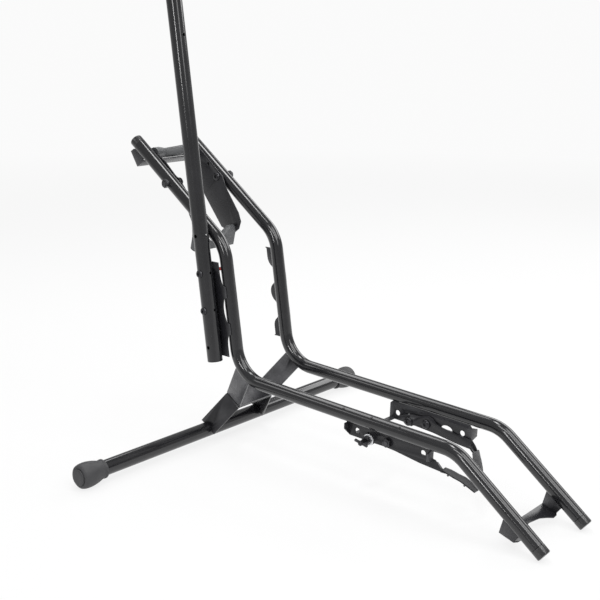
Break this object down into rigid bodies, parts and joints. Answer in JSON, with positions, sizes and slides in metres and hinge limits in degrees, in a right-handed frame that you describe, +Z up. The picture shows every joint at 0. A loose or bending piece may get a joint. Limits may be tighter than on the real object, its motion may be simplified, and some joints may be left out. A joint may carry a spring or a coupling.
{
  "type": "bicycle display stand",
  "caption": "Floor stand that holds a bicycle upright by one wheel: bent tube rails, a cross foot bar, tilting grip pads at tyre height and near the floor, and a bolted side pole.",
  "frame": {"origin": "on the floor, in the middle of the stand's footprint", "axes": "+Z up from the floor; +X towards the rails' low front ends, where the wheel rolls in; +Y towards the rail that has no pole"},
  "size_m": [0.8382, 0.679, 0.9604],
  "materials": {
    "gloss_black_paint": "gloss",
    "satin_black_paint": "satin",
    "black_oxide": "black oxide",
    "black_plastic": "matt",
    "grey_plastic": "matt",
    "foot_rubber": "matt",
    "bright_zinc": "bright zinc plating",
    "red_plastic": "semi-gloss"
  },
  "bodies": {
    "stand": {"base_bracket": "satin_black_paint", "base_tube": "gloss_black_paint", "cradle_cheek_far": "satin_black_paint", "cradle_cheek_near": "satin_black_paint", "cradle_pivot_bolt_far": "black_oxide", "cradle_pivot_bolt_near": "black_oxide", "cradle_pivot_nut_far": "black_oxide", "cradle_pivot_nut_near": "black_oxide", "foot_far": "foot_rubber", "foot_near": "foot_rubber", "front_strap": "satin_black_paint", "pole": "gloss_black_paint", "pole_bolt_lower": "black_oxide", "pole_bolt_upper": "black_oxide", "pole_bracket_far": "satin_black_paint", "pole_bracket_near": "satin_black_paint", "pole_nut_lower": "black_oxide", "pole_nut_upper": "black_oxide", "pole_top_plug": "black_plastic", "rail_bracket": "satin_black_paint", "rail_cap_front_far": "black_plastic", "rail_cap_front_near": "black_plastic", "rail_cap_top_far": "black_plastic", "rail_cap_top_near": "black_plastic", "rail_far": "gloss_black_paint", "rail_near": "gloss_black_paint", "rail_plug": "red_plastic", "rear_strap": "satin_black_paint", "rocker_bolt_far": "black_oxide", "rocker_bolt_near": "black_oxide", "rocker_nut_far": "black_oxide", "rocker_nut_near": "black_oxide", "rocker_spacer_far": "black_plastic", "rocker_spacer_near": "black_plastic"},
    "upper_rocker": {"rocker_arm_near": "satin_black_paint", "rocker_pad_lower": "grey_plastic", "rocker_pad_upper": "grey_plastic", "rocker_plate_far": "satin_black_paint", "rocker_screw_lower_far": "black_oxide", "rocker_screw_lower_near": "black_oxide", "rocker_screw_upper_far": "black_oxide", "rocker_screw_upper_near": "black_oxide"},
    "lower_cradle": {"cradle_lock_bolt_far": "black_oxide", "cradle_lock_nut_far": "black_oxide", "cradle_lock_nut_near": "black_oxide", "cradle_pad_front": "grey_plastic", "cradle_pad_rear": "grey_plastic", "cradle_side_far": "satin_black_paint", "cradle_side_near": "satin_black_paint", "cradle_web_front": "satin_black_paint", "cradle_web_rear": "satin_black_paint", "lock_washer": "bright_zinc"},
    "lock_handle": {"lock_screw": "black_oxide", "lock_bar": "black_oxide"}
  },
  "joints": [
    {"name": "rocker_tilt", "type": "hinge", "parent": "stand", "child": "upper_rocker", "pos_m": [-0.31623, 0, 0.44448], "axis": [0, 1, 0], "range_deg": [0, 60]},
    {"name": "cradle_tilt", "type": "hinge", "parent": "stand", "child": "lower_cradle", "pos_m": [0.13943, 0, 0.09682], "axis": [0, 1, 0], "range_deg": [0, 12]},
    {"name": "lock_turn", "type": "hinge", "parent": "lower_cradle", "child": "lock_handle", "pos_m": [0.10537, 0, 0.09271], "axis": [0, 1, 0], "range_deg": [-180, 180]}
  ]
}
